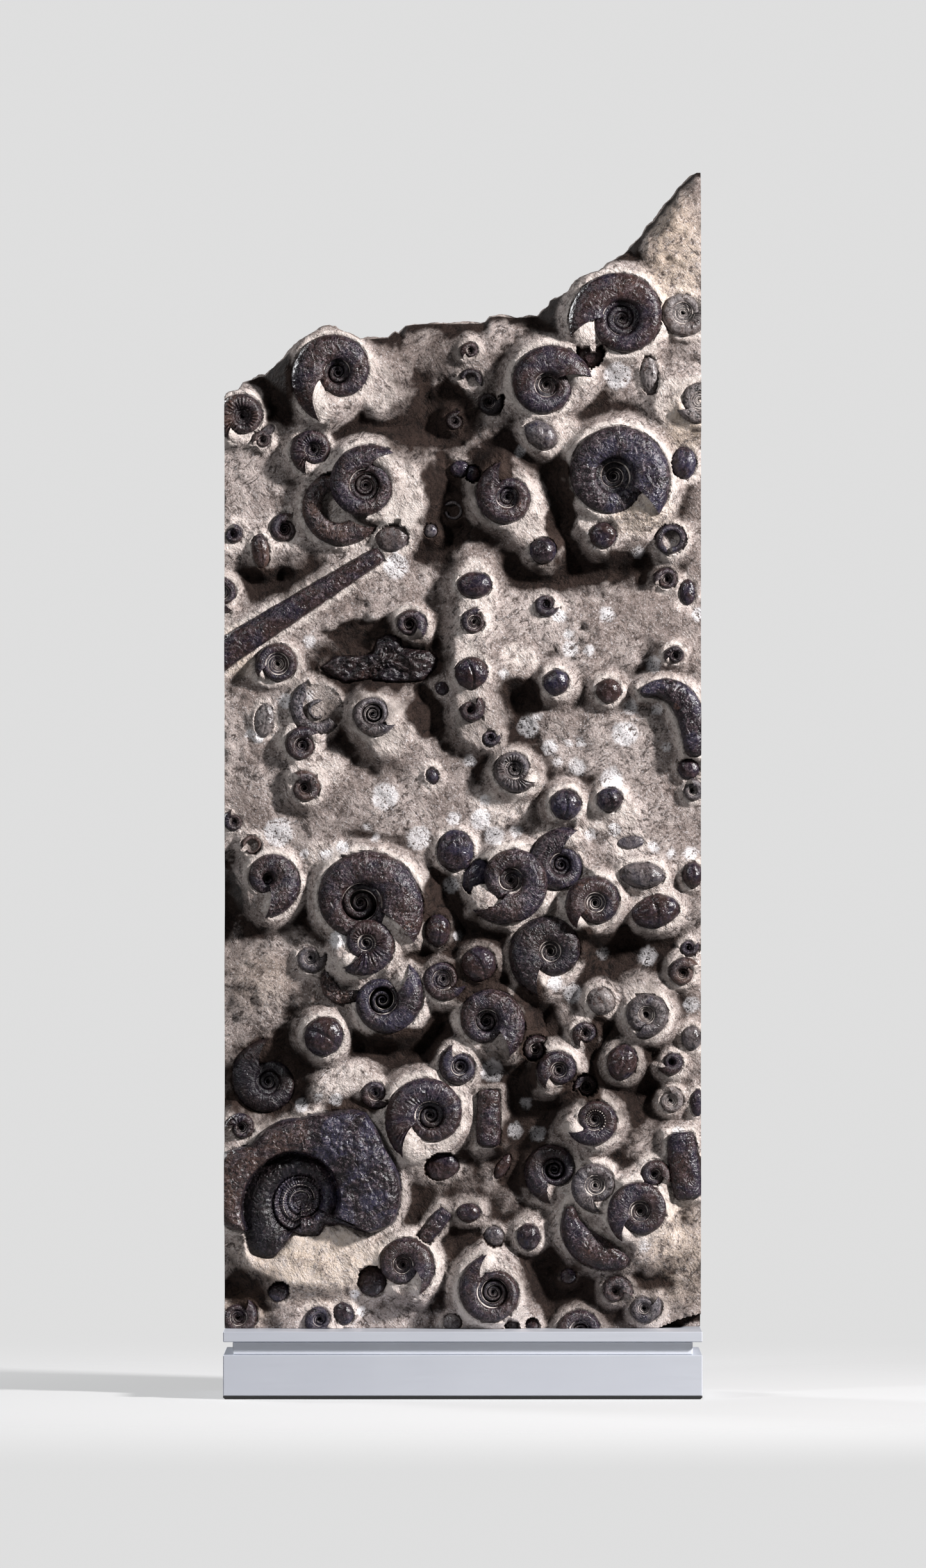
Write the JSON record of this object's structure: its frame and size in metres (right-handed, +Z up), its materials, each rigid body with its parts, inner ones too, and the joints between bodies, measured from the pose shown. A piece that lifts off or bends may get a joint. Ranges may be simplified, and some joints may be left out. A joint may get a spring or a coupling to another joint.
{
  "type": "ammonite cluster plate",
  "caption": "Tall sawn limestone slab crowded with dark fossil ammonites in relief, standing on a stepped metal plinth.",
  "frame": {"origin": "on the floor under the middle of the plinth", "axes": "+Z up, +X to the right seen from the front, the shells face -Y"},
  "size_m": [0.5, 0.2, 1.284],
  "materials": {
    "limestone": "chiselled matt limestone",
    "dark_shell": "dark mineral shell, half gloss",
    "grey_shell": "blue-grey mineral shell, half gloss",
    "plinth_metal": "satin",
    "plinth_dark_metal": "satin, darker",
    "foot_rubber": "matt black"
  },
  "bodies": {
    "root": {"ammonite_01": "dark_shell", "ammonite_02": "dark_shell", "ammonite_03": "dark_shell", "ammonite_04": "dark_shell", "ammonite_05": "dark_shell", "ammonite_06": "dark_shell", "ammonite_07": "dark_shell", "ammonite_08": "dark_shell", "ammonite_09": "dark_shell", "ammonite_10": "dark_shell", "ammonite_11": "dark_shell", "ammonite_12": "dark_shell", "ammonite_13": "dark_shell", "ammonite_14": "dark_shell", "ammonite_15": "dark_shell", "ammonite_16": "dark_shell", "ammonite_17": "dark_shell", "ammonite_18": "dark_shell", "ammonite_19": "dark_shell", "ammonite_20": "dark_shell", "ammonite_21": "dark_shell", "ammonite_22": "dark_shell", "ammonite_23": "dark_shell", "ammonite_24": "dark_shell", "ammonite_25": "dark_shell", "ammonite_26": "dark_shell", "ammonite_27": "dark_shell", "ammonite_28": "dark_shell", "ammonite_29": "dark_shell", "ammonite_30": "dark_shell", "ammonite_31": "dark_shell", "ammonite_32": "dark_shell", "ammonite_33": "dark_shell", "ammonite_34": "dark_shell", "ammonite_35": "dark_shell", "ammonite_36": "dark_shell", "body_chamber_low": "dark_shell", "body_chamber_right": "dark_shell", "foot_pad": "foot_rubber", "giant_ammonite": "dark_shell", "orthocone_long": "dark_shell", "orthocone_thick": "dark_shell", "orthocone_upright": "dark_shell", "plinth_block": "plinth_metal", "plinth_cap": "plinth_metal", "plinth_neck": "plinth_dark_metal", "rock_slab": "limestone", "round_shell_1": "grey_shell", "round_shell_2": "grey_shell", "round_shell_3": "grey_shell", "round_shell_4": "grey_shell", "round_shell_5": "grey_shell", "round_shell_6": "grey_shell", "round_shell_7": "grey_shell", "round_shell_8": "grey_shell"}
  },
  "joints": []
}
